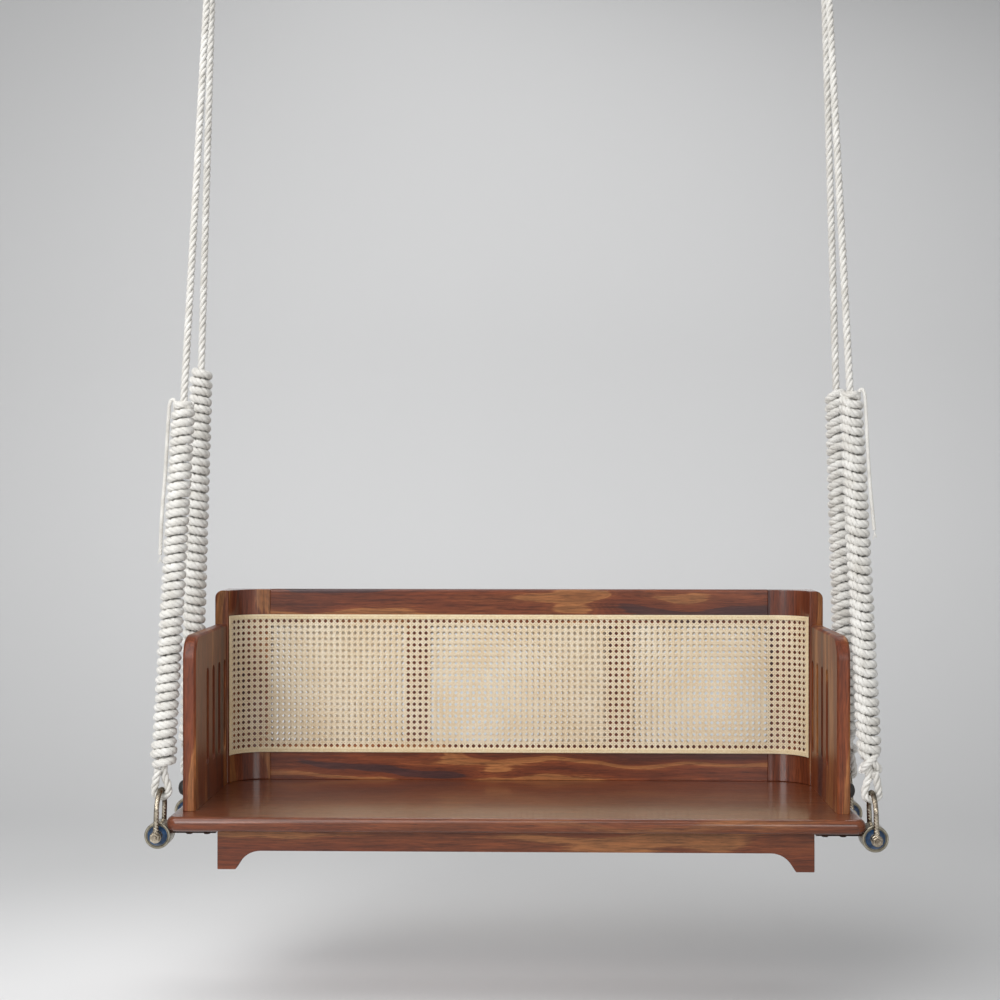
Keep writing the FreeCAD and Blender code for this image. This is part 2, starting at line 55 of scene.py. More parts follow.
bearing_x = 678.998
bearing_level = -39.0
bearing_depths = {"front": 45.0, "rear": 320.0}
hang_lean = math.radians(1.777)
shackle_rise = 48.0
shackle_reach = 36.0
rope_tilts = {"front": math.radians(7.22), "rear": math.radians(-0.73)}
rope_lengths = {"front": 1.8004, "rear": 1.7860}  # in metres, from eye to eye
wrap_start = 38.5
wrap_lengths = {"front_left": 712.0, "rear_left": 790.0, "front_right": 730.0, "rear_right": 745.0}
sides = {"left": -1, "right": 1}


def hanging(sign, end):
    """The leaning plane of one side's shackle, about the centre of its bearing."""
    place = Matrix.Translation((sign * bearing_x, bearing_depths[end], bearing_level))
    return bench @ place @ Matrix.Rotation(-sign * hang_lean, 4, "Y")


def up_the_rope(sign, end):
    """The line of one rope, from the top of its shackle's bow."""
    tilted = Matrix.Rotation(-rope_tilts[end], 4, "X")
    rise = Matrix.Translation((0, 0, shackle_rise))
    return hanging(sign, end) @ rise @ tilted @ Matrix.Translation((0, 0, shackle_reach))


# Finishes

def linear(colour):
    """The linear value of an sRGB hex colour."""
    parts = [int(colour[i:i + 2], 16) / 255 for i in (1, 3, 5)]
    return [p / 12.92 if p <= 0.04045 else ((p + 0.055) / 1.055) ** 2.4 for p in parts] + [1.0]


def per_metre(millimetres):
    """How many times a pattern of that size repeats in a metre."""
    return 1000 / millimetres


mix_under, mix_over, mix_out = 6, 7, 2  # the colour sockets of a Mix node


def add(tree, kind, inputs, **settings):
    """Adds a shader node with its settings; each input is a plain value, an output, or a node whose
    first output is meant. Those of a Map Range are 0 to 4: its value, the two ends that it comes
    from and the two that it goes to."""
    node = tree.nodes.new("ShaderNode" + kind)
    for key, value in settings.items():
        if key == "stops":
            ramp = node.color_ramp.elements  # it has a first and a last one already
            for place, colour in value[1:-1]:
                ramp.new(place).color = linear(colour)
            for end in (0, -1):
                ramp[end].position, colour = value[end]
                ramp[end].color = linear(colour)
        else:
            setattr(node, key, value)
    for socket, value in inputs.items():
        if isinstance(value, bpy.types.Node):
            value = value.outputs[0]
        if isinstance(value, bpy.types.NodeSocket):
            tree.links.new(value, node.inputs[socket])
        else:
            node.inputs[socket].default_value = value
    return node


def new_finish(name):
    """A new material, its node tree, and the output for each point's place on the object."""
    finish = bpy.data.materials.new(name)
    finish.use_nodes = True
    finish.node_tree.nodes.clear()
    return finish, finish.node_tree, add(finish.node_tree, "TexCoord", {}).outputs["Object"]


def sheesham(name, grain, shift, figure, haze, coat=0.5, stain=1.0, board=0.0):
    """Sheesham, sawn, sanded and given a satin lacquer: chestnut heartwood with golden and
    purple-brown zones that end sharply along the grain, fine growth lines, open pores and a clear
    coat that shows the windows. grain is the axis it runs along, shift its place in the log, and
    figure how strongly its zones differ; haze is the roughness of the clear coat, least on the
    rubbed-out seat, and coat how full that coat is. Bare wood has a stain of 1, and a lower one is
    darker. A wide panel is glued from boards of the width given, each from another place in the
    log."""
    zone = 56.0  # width of a zone of colour, mm
    streak = 5.0
    pore = 1.1  # a real pore is about 0.3 mm wide, and is drawn wider to show
    zone_shape = [0.048 if axis == grain else 1.0 for axis in range(3)]  # long along the grain
    pore_shape = [0.045 if axis == grain else 1.0 for axis in range(3)]
    finish, tree, place = new_finish(name)
    if board:
        depth = add(tree, "SeparateXYZ", {0: place}).outputs["Y"]
        count = add(tree, "Math", {0: depth, 1: per_metre(board)}, operation="MULTIPLY")
        count = add(tree, "Math", {0: count}, operation="FLOOR")
        log = add(tree, "TexWhiteNoise", {"W": count}, noise_dimensions="1D").outputs["Color"]
        log = add(tree, "VectorMath", {0: log, 1: (2.7, 2.7, 2.7)}, operation="MULTIPLY")
        place = add(tree, "VectorMath", {0: place, 1: log}, operation="ADD")
    moved = add(tree, "VectorMath", {0: place, 1: (shift, shift * 1.7, shift * 2.3)},
                operation="ADD")
    sway = add(tree, "TexNoise", {"Vector": moved, "Scale": 3.4, "Detail": 2.0}).outputs["Color"]
    sway = add(tree, "VectorMath", {0: sway, 1: (0.07, 0.07, 0.07)}, operation="MULTIPLY")
    swayed = add(tree, "VectorMath", {0: moved, 1: sway}, operation="ADD")
    along = add(tree, "VectorMath", {0: swayed, 1: zone_shape}, operation="MULTIPLY")
    fine = add(tree, "VectorMath", {0: moved, 1: pore_shape}, operation="MULTIPLY")
    zones = add(tree, "TexNoise", {"Vector": along, "Scale": per_metre(zone), "Detail": 1.2,
                                   "Roughness": 0.45, "Distortion": 0.3})
    streaks = add(tree, "TexNoise", {"Vector": fine, "Scale": per_metre(streak), "Detail": 5.0,
                                     "Roughness": 0.75})
    pores = add(tree, "TexNoise", {"Vector": fine, "Scale": per_metre(pore), "Detail": 2.0})
    # The edge of a zone feathers out along the fine streaks.
    feathered = add(tree, "Math", {0: streaks, 1: 0.09, 2: zones}, operation="MULTIPLY_ADD")
    chosen = add(tree, "MapRange", {0: feathered, 1: 0.045, 2: 1.045, 3: 0.47 - 0.47 * figure,
                                    4: 0.47 + 0.53 * figure})
    colour = add(tree, "ValToRGB", {0: chosen}, stops=[
        (0.20, "#3d2224"), (0.345, "#492823"), (0.36, "#632e19"), (0.47, "#70361c"),
        (0.535, "#7c4122"), (0.55, "#996238"), (0.635, "#8b542e"), (0.65, "#6c341b"),
        (0.75, "#592a18"), (0.86, "#4a271f")])
    phase = add(tree, "Math", {0: zones, 1: 190.0}, operation="MULTIPLY")
    growth = add(tree, "Math", {0: phase}, operation="SINE")
    growth = add(tree, "MapRange", {0: growth, 1: -1.0, 2: 0.9, 3: 0.87 * stain, 4: 1.04 * stain})
    fleck = add(tree, "MapRange", {0: streaks, 1: 0.36, 2: 0.64, 3: 0.6, 4: 1.24})
    open_pores = add(tree, "MapRange", {0: pores, 1: 0.34, 2: 0.46, 3: 0.6, 4: 1.0})
    for tone in (growth, fleck, open_pores):
        colour = add(tree, "Mix", {0: 1.0, mix_under: colour, mix_over: tone},
                     data_type="RGBA", blend_type="MULTIPLY").outputs[mix_out]
    rough = add(tree, "MapRange", {0: pores, 1: 0.3, 2: 0.7, 3: 0.46, 4: 0.36})
    relief = add(tree, "Bump", {"Height": pores, "Strength": 0.10, "Distance": 0.0003})
    skin = add(tree, "BsdfPrincipled", {
        "Base Color": colour, "Roughness": rough, "Normal": relief, "IOR": 1.48,
        "Specular IOR Level": 0.2, "Coat Weight": coat, "Coat Roughness": haze, "Coat IOR": 1.48})
    add(tree, "OutputMaterial", {0: skin})
    return finish


def rattan(name, pale, deep, rough_low, rough_high):
    """Split rattan with its natural skin, woven or laid flat: pale straw, warmer in places, with a
    fine grain along the strand and a dull gloss."""
    warm_place = 70.0
    fibre = 2.2
    finish, tree, place = new_finish(name)
    patch = add(tree, "TexNoise", {"Vector": place, "Scale": per_metre(warm_place), "Detail": 3.0})
    strand = add(tree, "TexNoise", {"Vector": place, "Scale": per_metre(fibre), "Detail": 2.0})
    mixed = add(tree, "Mix", {0: 0.25, 2: strand, 3: patch})
    tone = add(tree, "MapRange", {0: mixed, 1: 0.35, 2: 0.65})
    colour = add(tree, "ValToRGB", {0: tone}, stops=[(0.0, deep), (1.0, pale)])
    rough = add(tree, "MapRange", {0: strand, 3: rough_low, 4: rough_high})
    relief = add(tree, "Bump", {"Height": strand, "Strength": 0.25, "Distance": 0.0002})
    skin = add(tree, "BsdfPrincipled", {"Base Color": colour, "Roughness": rough, "Normal": relief,
                                        "IOR": 1.5})
    add(tree, "OutputMaterial", {0: skin})
    return finish


def cotton(name):
    """Undyed cotton, spun soft and twisted in three strands: almost white, matt and a little
    fuzzy, with fine fibres along the strands."""
    handled_place = 28.0
    fibre = 0.9  # yarns are about 0.5 mm thick, and are drawn thicker to show
    finish, tree, place = new_finish(name)
    patch = add(tree, "TexNoise", {"Vector": place, "Scale": per_metre(handled_place),
                                   "Detail": 2.0})
    yarn = add(tree, "TexNoise", {"Vector": place, "Scale": per_metre(fibre), "Detail": 3.0})
    mixed = add(tree, "Math", {0: patch, 1: yarn}, operation="ADD")
    tone = add(tree, "MapRange", {0: mixed, 1: 0.7, 2: 1.2})
    colour = add(tree, "ValToRGB", {0: tone}, stops=[(0.0, "#c3bfb7"), (1.0, "#e5e3de")])
    relief = add(tree, "Bump", {"Height": yarn, "Strength": 0.6, "Distance": 0.0006})
    skin = add(tree, "BsdfPrincipled", {
        "Base Color": colour, "Roughness": 0.92, "Normal": relief, "IOR": 1.47,
        "Sheen Weight": 0.25, "Sheen Roughness": 0.5})
    add(tree, "OutputMaterial", {0: skin})
    return finish


def metal(name, pale, dull, rough_low, rough_high, mottle):
    """A plated or painted steel: mottle is the size of its worn patches in millimetres."""
    finish, tree, place = new_finish(name)
    worn = add(tree, "TexNoise", {"Vector": place, "Scale": per_metre(mottle), "Detail": 4.0,
                                  "Roughness": 0.65})
    tone = add(tree, "MapRange", {0: worn, 1: 0.38, 2: 0.62})
    colour = add(tree, "ValToRGB", {0: tone}, stops=[(0.0, dull), (1.0, pale)])
    rough = add(tree, "MapRange", {0: tone, 3: rough_high, 4: rough_low})
    relief = add(tree, "Bump", {"Height": worn, "Strength": 0.15, "Distance": 0.0002})
    skin = add(tree, "BsdfPrincipled", {"Base Color": colour, "Roughness": rough, "Normal": relief,
                                        "Metallic": 1.0})
    add(tree, "OutputMaterial", {0: skin})
    return finish


def rubber(name, shade, worn_shade, rough):
    """Moulded rubber: an even colour that goes a little paler where it is rubbed, without gloss."""
    rubbed_place = 6.0
    finish, tree, place = new_finish(name)
    worn = add(tree, "TexNoise", {"Vector": place, "Scale": per_metre(rubbed_place),
                                  "Detail": 3.0})
    colour = add(tree, "ValToRGB", {0: worn}, stops=[(0.35, shade), (0.75, worn_shade)])
    relief = add(tree, "Bump", {"Height": worn, "Strength": 0.1, "Distance": 0.0002})
    skin = add(tree, "BsdfPrincipled", {"Base Color": colour, "Roughness": rough, "Normal": relief,
                                        "IOR": 1.52})
    add(tree, "OutputMaterial", {0: skin})
    return finish


woven_rattan = rattan("woven rattan", "#ece1ca", "#d8be95", 0.45, 0.62)
rattan_binding = rattan("flat rattan binding", "#e9dbba", "#d6bd92", 0.38, 0.52)
twisted_cotton = cotton("twisted cotton")
# Nickel plate worn through to bronze-brown: bright along the rounds, dark where hands don't rub it.
worn_nickel = metal("worn nickel plate", "#c4b9a6", "#807465", 0.16, 0.27, 14)
# Zinc plate, turned: pale grey with a faint yellow tone and a soft gloss.
zinc_plate = metal("zinc plate", "#a9a291", "#7f796b", 0.26, 0.4, 14)
# Steel brushed over with brown lacquer, under the seat: dark, satin.
brown_lacquer = metal("brown lacquered steel", "#3c2a22", "#261a15", 0.38, 0.55, 12)
# Black oxide on steel: almost black, satin.
black_oxide = metal("black oxide steel", "#4b4845", "#2b2927", 0.38, 0.55, 12)
blue_seal = rubber("blue seal rubber", "#0f2a45", "#1d456e", 0.36)
black_rubber = rubber("black buffer rubber", "#1b1a19", "#35322f", 0.55)


# Making pieces

def put(name, data):
    """A new object in the scene."""
    made = bpy.data.objects.new(name, data)
    bpy.context.collection.objects.link(made)
    return made


def smooth(mesh):
    mesh.polygons.foreach_set("use_smooth", [True] * len(mesh.polygons))


def piece(name, points, faces, finish, slot, body, stands_for=(), matrix=bench):
    """A new piece; its points are in millimetres of the place that matrix gives."""
    crease = math.radians(35)  # a sharper fold stays an edge
    turn = np.array(matrix)
    placed = np.asarray(points, dtype=float) @ turn[:3, :3].T + turn[:3, 3]
    mesh = bpy.data.meshes.new(name)
    mesh.from_pydata(placed.tolist(), [], faces)
    smooth(mesh)
    mesh.set_sharp_from_angle(angle=crease)
    mesh.materials.append(finish)
    made = put(name, mesh)
    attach(made, body)
    if stands_for:
        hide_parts(*stands_for)
    return made


def eased(name, node, edge, finish, body):
    """A CAD piece again, with its sharp edges rounded by edge millimetres."""
    flat = math.radians(0.6)
    shape = bmesh.new()
    shape.from_mesh(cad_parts[node].data)
    bmesh.ops.remove_doubles(shape, verts=shape.verts, dist=1e-5)
    bmesh.ops.dissolve_limit(shape, angle_limit=flat, verts=shape.verts, edges=shape.edges)
    mesh = bpy.data.meshes.new(name)
    shape.to_mesh(mesh)
    shape.free()
    mesh.materials.clear()
    mesh.materials.append(finish)
    mesh.polygons.foreach_set("material_index", [0] * len(mesh.polygons))
    smooth(mesh)
    made = put(name, mesh)
    rounding = made.modifiers.new("edge", "BEVEL")
    rounding.width = edge / 1000
    rounding.segments = 3
    rounding.limit_method = "ANGLE"
    rounding.angle_limit = math.radians(32)
    rounding.use_clamp_overlap = True
    level = made.modifiers.new("flats", "WEIGHTED_NORMAL")
    level.weight = 90
    seen = made.evaluated_get(bpy.context.evaluated_depsgraph_get())
    solid = bpy.data.meshes.new_from_object(seen)
    made.modifiers.clear()
    made.data = solid
    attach(made, body)
    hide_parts(node)


def run_along(line):
    """How far along a line each of its points is."""
    return np.concatenate([[0], np.cumsum(np.linalg.norm(np.diff(line, axis=0), axis=1))])


def evenly(line, step):
    """Stations along a line, about step apart."""
    line = np.asarray(line, dtype=float)
    run = run_along(line)
    at = np.linspace(0, run[-1], max(2, round(run[-1] / step) + 1))
    return np.stack([np.interp(at, run, line[:, k]) for k in range(3)], axis=1)


def laid(line, radius, hub=0.0, count=1, lay=1.0, facets=8, closed=False):
    """Strands twisted about a line, or one plain bar along it: hub is how far each strand lies from
    the line, lay the length of one turn, radius one figure or one for each station."""
    line = np.asarray(line, dtype=float)
    ahead = np.roll(line, -1, axis=0) - np.roll(line, 1, axis=0)
    if not closed:
        ahead[0] = line[1] - line[0]
        ahead[-1] = line[-1] - line[-2]
    ahead /= np.linalg.norm(ahead, axis=1)[:, None]
    side = np.cross(ahead[0], (0.31, 0.95, 0.05))  # a way that none of the lines starts in
    aside = []
    for run in ahead:
        side = side - run * side.dot(run)
        side /= np.linalg.norm(side)
        aside.append(side)
    aside = np.array(aside)
    over = np.cross(ahead, aside)
    along = run_along(line)
    radius = np.broadcast_to(np.asarray(radius, dtype=float), (len(line),))[:, None, None]
    stretch = math.hypot(1, 2 * math.pi * hub / lay)
    around = 2 * math.pi * np.arange(facets) / facets
    last = len(line) if closed else len(line) - 1
    points = []
    faces = []
    for strand in range(count):
        turn = 2 * math.pi * (along / lay + strand / count)
        out = aside * np.cos(turn)[:, None] + over * np.sin(turn)[:, None]
        along_turn = over * np.cos(turn)[:, None] - aside * np.sin(turn)[:, None]
        centre = line + out * hub
        ring = out[:, None, :] * np.cos(around)[None, :, None]
        ring = ring + along_turn[:, None, :] * (np.sin(around) * stretch)[None, :, None]
        first = len(points)
        points.extend((centre[:, None, :] + ring * radius).reshape(-1, 3).tolist())
        for i in range(last):
            low = first + i * facets
            high = first + ((i + 1) % len(line)) * facets
            faces.extend((low + k, low + (k + 1) % facets, high + (k + 1) % facets, high + k)
                         for k in range(facets))
        if not closed:
            faces.append(tuple(first + k for k in reversed(range(facets))))
            faces.append(tuple(first + last * facets + k for k in range(facets)))
    return points, faces


def turned(profile, facets=40, bored=False):
    """A piece turned round the Y axis; profile is (along, radius), a closed loop where bored."""
    points = []
    for along, radius in profile:
        for k in range(facets):
            turn = 2 * math.pi * (k + 0.5) / facets
            points.append((radius * math.cos(turn), along, radius * math.sin(turn)))
    count = len(profile)
    faces = []
    for i in range(count if bored else count - 1):
        low = i * facets
        high = ((i + 1) % count) * facets
        faces.extend((low + k, high + k, high + (k + 1) % facets, low + (k + 1) % facets)
                     for k in range(facets))
    if not bored:
        faces.append(tuple(range(facets)))
        faces.append(tuple(reversed(range((count - 1) * facets, count * facets))))
    return points, faces


def joined(parts):
    """One set of points and faces from several."""
    points = []
    faces = []
    for part_points, part_faces in parts:
        start = len(points)
        points.extend(tuple(p) for p in part_points)
        faces.extend(tuple(i + start for i in face) for face in part_faces)
    return points, faces


def moved(part, matrix):
    points, faces = part
    return [tuple(matrix @ Vector(p)) for p in points], faces


def spline_line(route):
    """The smooth line of a cord's route, read from a NURBS spline with the route's points as its
    control points."""
    curve = bpy.data.curves.new("route", "CURVE")
    curve.dimensions = "3D"
    spline = curve.splines.new("NURBS")
    spline.points.add(len(route) - 1)
    for point, place in zip(spline.points, route):
        point.co = (*place, 1)
    spline.order_u = 3
    spline.use_endpoint_u = True
    spline.resolution_u = 48
    drawn = bpy.data.objects.new("route", curve)
    mesh = bpy.data.meshes.new_from_object(drawn)
    line = [tuple(v.co) for v in mesh.vertices]
    bpy.data.objects.remove(drawn)
    bpy.data.meshes.remove(mesh)
    return line


# Ropes, their wraps and the loose ends come first

def rope_route(out, length):
    """Points of one rope in metres, up its own line: the tail, the eye round the bow, the standing
    rope and the eye round the ceiling link."""
    eye = out * 0.01315
    tail = out * 0.0164
    return [(out * 0.006, -0.0135, 0.0375), (out * 0.013, -0.004, 0.010), (eye, 0, -0.01315),
            (-eye, 0, -0.01315), (-eye, 0, 0.008), (0, 0, 0.033), (0, 0, 0.126),
            (0, 0, length - 0.126), (0, 0, length - 0.033), (-eye, 0, length - 0.008),
            (-eye, 0, length + 0.01315), (eye, 0, length + 0.01315), (eye, 0, length - 0.008),
            (tail, 0, length - 0.033), (tail, 0, length - 0.090)]


def suspension_rope(side, end):
    sign = sides[side]
    metres = up_the_rope(sign, end) @ Matrix.Scale(1000, 4)
    route = [metres @ Vector(p) for p in rope_route(sign, rope_lengths[end])]
    line = evenly(spline_line(route), 0.0035)
    strands = laid(line, 0.00385, hub=0.0039, count=3, lay=0.046)
    name = f"rope_{end}_{side}"
    made = piece(f"cotton_{name}", *strands, twisted_cotton, "cotton_rope", f"{side}_ropes", [name],
                 matrix=in_metres)


def wrap(side, end):
    """A cord wound round the lower part of a rope. On the left its loops lie plain; on the right
    each loop crosses over itself on the inner side, in a ridge of hitches, above a crossed neck.
    The front ones end in a knob, where the cord is tucked under itself."""
    sign = sides[side]
    hitched = side == "right"
    neck = 30.0 if hitched else 0.0
    length = wrap_lengths[f"{end}_{side}"] - neck
    hand = 1 if (end == "front") == (side == "left") else -1
    stations = 34  # on one loop
    cord = 8.4  # radius of the cord over its three strands
    clear = 0.6  # at each end of the wrap
    count = round(length / 17.8) - 1
    pitch = (length - 2 * cord - 2 * clear) / count
    share = np.arange(count * stations + 1) / stations
    climb = share * pitch + 0.8 * np.sin(2.9 * share + 2 * sign)
    reach = 15.5 + 0.35 * np.sin(1.7 * share + sign) + 0.25 * np.sin(4.3 * share)
    if hitched:
        step = share % 1.0 - 0.5
        climb = climb + pitch * 0.46 * np.sin(2 * math.pi * step) * np.exp(-(step / 0.2) ** 2)
        reach = reach + 2.6 * np.exp(-(step / 0.10) ** 2)
    else:
        reach = reach + 2.2 * np.exp(-((share - 1.1) / 0.9) ** 2)
    upper_tuck = np.clip((share - count + 0.8) / 0.8, 0, 1) ** 2
    lower_tuck = np.clip(1 - share / 0.4, 0, 1)
    reach = reach - 3.5 * upper_tuck - 3.0 * lower_tuck
    # The ridge looks in and forward, clear of the arm.
    facing = math.pi + 0.85 if sign > 0 else 0.0
    angle = hand * (2 * math.pi * share + math.pi) + facing
    line = np.stack([reach * np.cos(angle), reach * np.sin(angle),
                     wrap_start + neck + cord + clear + climb], axis=1)
    parts = [laid(line, 0.60 * cord, hub=0.42 * cord, count=3, lay=36.0)]
    if hitched:
        parts += crossed_cords(wrap_start + 2, 40, 14.2)
    if end == "front":
        parts += crossed_cords(wrap_start + neck + length - 9, 8, 12.6)
    name = f"wrap_{end}_{side}"
    piece(f"cotton_{name}", *joined(parts), twisted_cotton, "cotton_rope", f"{side}_ropes", [name],
          matrix=up_the_rope(sign, end))


def crossed_cords(low, rise, away):
    """Four cords that cross over one another round the rope, from low up by rise."""
    parts = []
    for start in (0.0, math.pi):
        for way in (-1, 1):
            along = np.linspace(0, 1, 30)
            angle = start + way * (along - 0.5) * math.pi * 1.05 + math.pi / 2
            reach = away + way * 1.6 * np.cos(2 * math.pi * (along - 0.5))
            climb = low + rise * along
            line = np.stack([reach * np.cos(angle), reach * np.sin(angle), climb], axis=1)
            parts.append(laid(line, 3.9, hub=3.0, count=3, lay=34.0))
    return parts


# Distance out from the rope, place towards the back, and height above the top of the wrap, in
# metres
left_tail = [(0.016, 0, -0.0032), (0.018, 0, 0.0085), (0.0278, 0, 0.0065), (0.0286, 0, -0.030),
             (0.0284, 0, -0.092), (0.0284, 0, -0.160), (0.0310, 0, -0.218), (0.0290, 0, -0.300)]
right_tail = [(0.016, 0, -0.0032), (0.018, 0, 0.0085), (0.0276, -0.003, 0.0060),
              (0.0276, -0.008, -0.030), (0.0264, -0.0105, -0.085), (0.0264, -0.0105, -0.150),
              (0.0272, -0.0105, -0.205), (0.0305, -0.0100, -0.270)]


def loose_end(side, tail):
    sign = sides[side]
    top = (wrap_start + wrap_lengths[f"front_{side}"]) / 1000
    metres = up_the_rope(sign, "front") @ Matrix.Scale(1000, 4)
    route = [metres @ Vector((sign * out, back, top + height)) for out, back, height in tail]
    line = evenly(spline_line(route), 0.0025)
    strands = laid(line, 0.0021, hub=0.0018, count=3, lay=0.022)
    ends = fray(side, line)
    name = f"loose_end_{side}"
    made = piece(f"cotton_{name}", *strands, twisted_cotton, "cotton_rope", f"{side}_ropes", [name],
                 matrix=in_metres)


def fray(side, line):
    """The untwisted yarns at the tip of a loose end."""
    yarns = 11
    tip = np.array(line[-1])
    down = tip - np.array(line[-4])
    down /= np.linalg.norm(down)
    parts = []
    for k in range(yarns):
        turn = 2.4 * k
        fan = np.array([math.cos(turn), math.sin(turn), 0.0]) * (0.25 + 0.06 * (k % 4))
        reach = 0.011 + 0.0016 * (k % 5)
        along = np.linspace(-0.15, 1, 8)[:, None]
        bent = along * down + along ** 2 * fan * np.sign(along)
        parts.append(laid(tip + reach * bent, 0.00045, facets=6))
    return piece(f"cotton_fray_{side}", *joined(parts), twisted_cotton, "cotton_rope",
                 f"{side}_ropes", matrix=in_metres)


def seizing(side, end):
    """Thin twine round the rope and its tail, below the upper eye."""
    turns = 9
    sign = sides[side]
    angle = np.linspace(0, 2 * math.pi * turns, turns * 36)
    x = sign * 8.2 + 8.6 * np.cos(angle) + 8.2 * np.tanh(2.5 * np.cos(angle))
    z = rope_lengths[end] * 1000 - 72 + 2.5 * angle / (2 * math.pi)
    line = np.stack([x, 9.0 * np.sin(angle), z], axis=1)
    twine = laid(line, 0.75, hub=0.7, count=2, lay=7.0, facets=6)
    piece(f"twine_seizing_{end}_{side}", *twine, twisted_cotton, "cotton_rope", f"{side}_ropes",
          matrix=up_the_rope(sign, end))


for side in sides:
    for end in bearing_depths:
        suspension_rope(side, end)
        wrap(side, end)
        seizing(side, end)
loose_end("left", left_tail)
loose_end("right", right_tail)


# Woodwork

wood_across = sheesham("satin sheesham, grain across", 0, 8.3, 0.6, 0.3, stain=0.9)
wood_rail = sheesham("satin sheesham, top rail", 0, 1.31, 1.1, 0.2)
wood_lower = sheesham("satin sheesham, bottom rail", 0, 2.9, 1.2, 0.2, stain=1.12)
wood_seat = sheesham("satin sheesham, seat boards", 0, 3.7, 0.28, 0.13, coat=0.7, stain=0.84,
                     board=102.0)
wood_upright = sheesham("satin sheesham, grain upright", 2, 2.2, 0.8, 0.14, coat=1.0)
wood_arm = sheesham("satin sheesham, arm panels", 2, 4.6, 0.9, 0.36, coat=0.3, stain=1.06)
wood_deep = sheesham("satin sheesham, grain to the back", 1, 0.9, 0.8, 0.3)
woodwork = [
    ("seat_plank", 0.8, wood_seat), ("apron_front", 1.6, wood_across),
    ("apron_rear", 1.6, wood_across), ("apron_left", 1.6, wood_deep),
    ("apron_right", 1.6, wood_deep), ("seat_battens", 2.0, wood_deep),
    ("back_top_rail", 1.2, wood_rail), ("back_bottom_rail", 1.0, wood_lower),
    ("back_stile_left", 1.0, wood_upright), ("back_stile_right", 1.0, wood_upright),
    ("corner_post_left", 2.0, wood_upright), ("corner_post_right", 2.0, wood_upright),
    ("arm_left", 2.2, wood_arm), ("arm_right", 2.2, wood_arm)]
for node, edge, finish in woodwork:
    eased("lacquered_" + node, node, edge, finish, "bench")


# Cane back

cane_bottom = 59.0
cane_top = 354.0
cane_middle = (cane_bottom + cane_top) / 2
cane_lift = 1.05  # middle of the woven sheet off the wood
front_half = hollow_centre[0] + math.radians(75) * (hollow_radius - cane_lift)
rear_half = 555.0


def on_front_sheet(s, z, lift):
    """Places on the front sheet: s along it from the middle, lift off its middle surface. Beyond
    the flat of the back it goes round the hollows of the posts."""
    mid = hollow_radius - cane_lift
    turn = np.maximum(np.abs(s) - hollow_centre[0], 0) / mid
    flat = np.minimum(np.abs(s), hollow_centre[0])
    x = np.sign(s) * (flat + (mid - lift) * np.sin(turn))
    y = hollow_centre[1] + (mid - lift) * np.cos(turn)
    return np.stack([x, y, z], axis=-1)


def on_rear_sheet(s, z, lift):
    return np.stack([s, back_rear + cane_lift + lift, z], axis=-1)


def woven(half, on_sheet, cane_pitch, shift_s, shift_z):
    """Six-way cane: pairs of upright and level strands with two sets of slanting ones between, all
    passing over and under."""
    strand = 2.1
    gap = 1.4  # from the middle of a pair to the middle of each strand
    depth = 0.42
    margin = 0.5  # kept free along the sheet's edge
    quarter = cane_pitch / 4
    rise = cane_top - cane_middle - margin
    reach = half - margin
    points = []
    faces = []

    def ribbon(s, z, lift, width_s, width_z):
        s, z = s + shift_s, z + shift_z
        inside = (np.abs(s) <= reach) & (np.abs(z) <= rise)
        if inside.sum() < 2:
            return
        s, z, lift = s[inside], z[inside], lift[inside]
        edges = [on_sheet(s + k * width_s, cane_middle + z + k * width_z, lift) for k in (-1, 1)]
        first = len(points)
        points.extend(np.stack(edges, axis=1).reshape(-1, 3).tolist())
        faces.extend((first + 2 * i, first + 2 * i + 1, first + 2 * i + 3, first + 2 * i + 2)
                     for i in range(len(s) - 1))

    steps_z = math.ceil(rise / quarter) + 4
    steps_s = math.ceil(reach / quarter) + 4
    levels = np.arange(-steps_z, steps_z + 1) * quarter
    places = np.arange(-steps_s, steps_s + 1) * quarter
    wave = 2 * math.pi / cane_pitch
    for i in range(-int(reach / cane_pitch) - 1, int(reach / cane_pitch) + 2):
        for pair in (-1, 1):
            s = np.full(len(levels), i * cane_pitch + pair * gap)
            ribbon(s, levels, depth * pair * np.sin(wave * levels), strand / 2, 0)
    for j in range(-int(rise / cane_pitch) - 1, int(rise / cane_pitch) + 2):
        for pair in (-1, 1):
            z = np.full(len(places), j * cane_pitch + pair * gap)
            ribbon(places, z, -depth * pair * np.sin(wave * places), 0, strand / 2)
    slant = strand / 2 / math.sqrt(2)
    spread = int((reach + rise) / cane_pitch) + 1
    for k in range(-spread, spread):
        for way in (-1, 1):
            s = (k + 0.5) * cane_pitch + way * levels
            ribbon(s, levels, -way * depth * np.cos(wave * s), slant, -way * slant)
    return points, faces


